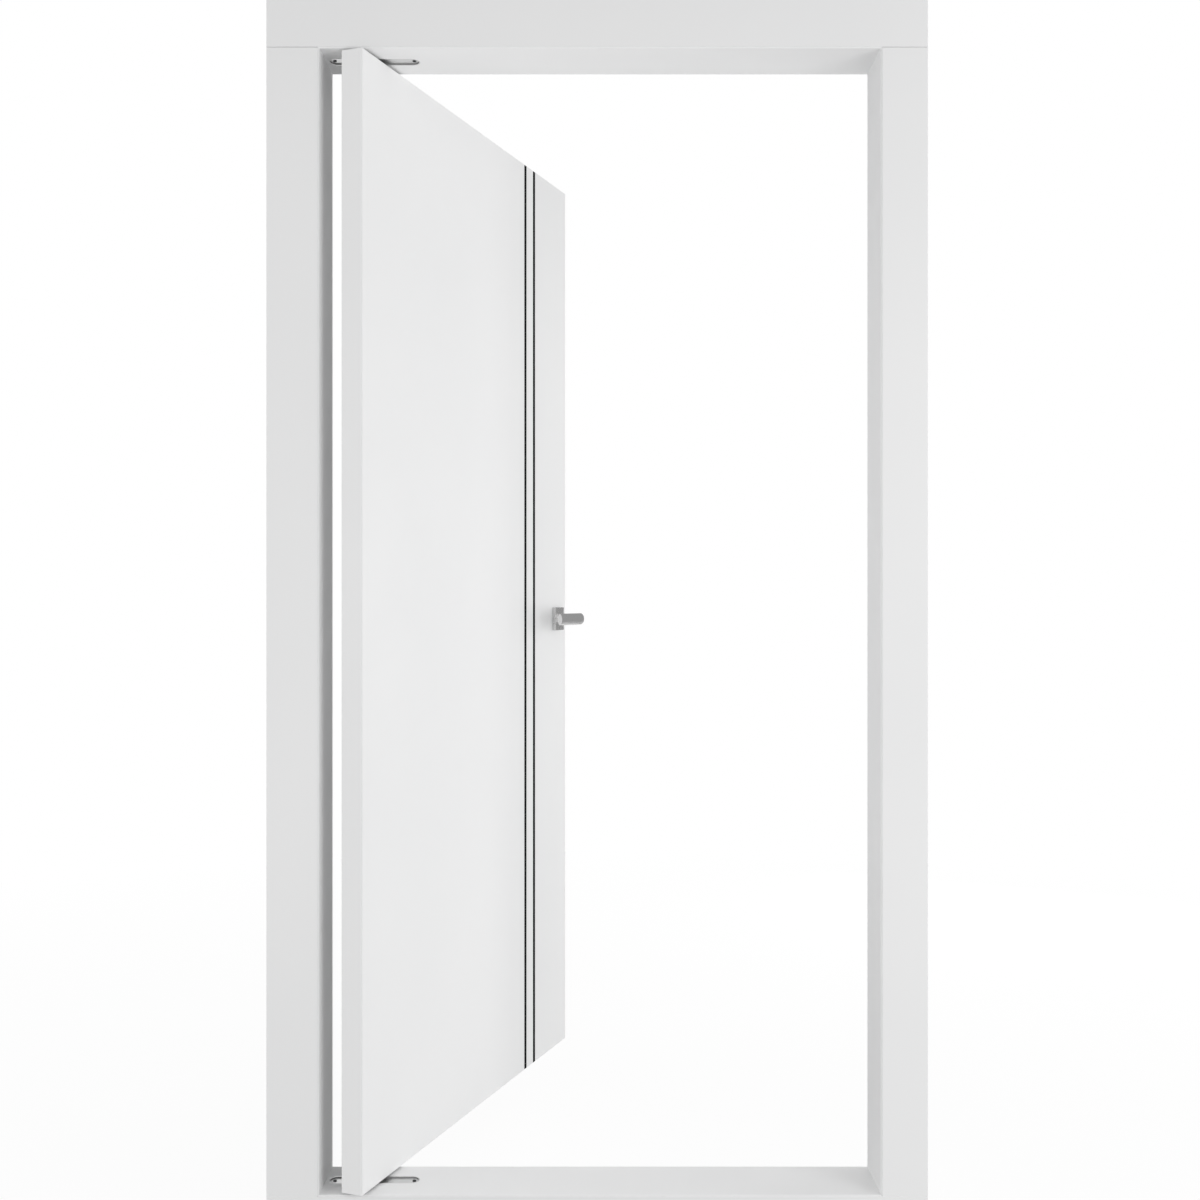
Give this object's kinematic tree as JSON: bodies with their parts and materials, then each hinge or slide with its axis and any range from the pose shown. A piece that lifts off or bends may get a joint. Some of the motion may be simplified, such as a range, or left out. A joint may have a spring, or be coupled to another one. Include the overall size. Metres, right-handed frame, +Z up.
{
  "type": "interior pivot door",
  "caption": "White interior pivot door standing open: a flush leaf with dark inlaid lines and a lever handle turns on offset pivots inside a flat frame that closes all round.",
  "frame": {"origin": "middle of the sill's underside: below the middle of the opening, halfway through the frame's depth", "axes": "+Z is up. X runs across the opening, with the pivot side at -X and the lock side at +X. +Y is the side that the leaf stands open to; the face seen in the picture looks to -Y."},
  "size_m": [1.178, 0.9409, 2.229],
  "materials": {
    "white_lacquer": "satin white lacquer on board",
    "core_board": "raw board, hidden",
    "satin_steel": "satin",
    "pivot_steel": "dull, plain",
    "black_inlay": "matt black anodised"
  },
  "bodies": {
    "frame": {"head_lining": "white_lacquer", "sill_lining": "white_lacquer", "pivot_jamb_lining": "white_lacquer", "lock_jamb_lining": "white_lacquer", "head_casing_front": "white_lacquer", "head_casing_back": "white_lacquer", "sill_casing_front": "white_lacquer", "sill_casing_back": "white_lacquer", "pivot_jamb_casing_front": "white_lacquer", "pivot_jamb_casing_back": "white_lacquer", "lock_jamb_casing_front": "white_lacquer", "lock_jamb_casing_back": "white_lacquer", "sill_bearer": "core_board", "head_pivot_plate": "pivot_steel", "sill_pivot_plate": "pivot_steel", "sill_pivot_spindle": "pivot_steel"},
    "leaf": {"leaf_core": "core_board", "leaf_front_skin": "white_lacquer", "leaf_back_skin": "white_lacquer", "leaf_pivot_edge": "white_lacquer", "leaf_lock_edge": "white_lacquer", "inlay_front_inner": "black_inlay", "inlay_front_outer": "black_inlay", "inlay_back_inner": "black_inlay", "inlay_back_outer": "black_inlay", "leaf_top_pivot_box": "pivot_steel", "leaf_top_pivot_pin": "pivot_steel", "leaf_bottom_pivot_box": "pivot_steel", "rosette_front": "satin_steel", "rosette_back": "satin_steel", "lock_case": "pivot_steel", "lock_faceplate": "satin_steel", "latch_bolt": "satin_steel"},
    "handle": {"lever_front": "satin_steel", "lever_back": "satin_steel", "handle_spindle": "pivot_steel"}
  },
  "joints": [
    {"name": "leaf_swing", "type": "hinge", "parent": "frame", "child": "leaf", "pos_m": [-0.414, 0, 0], "axis": [0, 0, 1], "range_deg": [-160, 20]},
    {"name": "lever_turn", "type": "hinge", "parent": "leaf", "child": "handle", "pos_m": [-0.12277, 0.80015, 1.108], "axis": [0.9397, -0.342, 0], "range_deg": [0, 40], "stiffness_Nm_per_rad": 1.2, "springref_deg": -48.7}
  ]
}
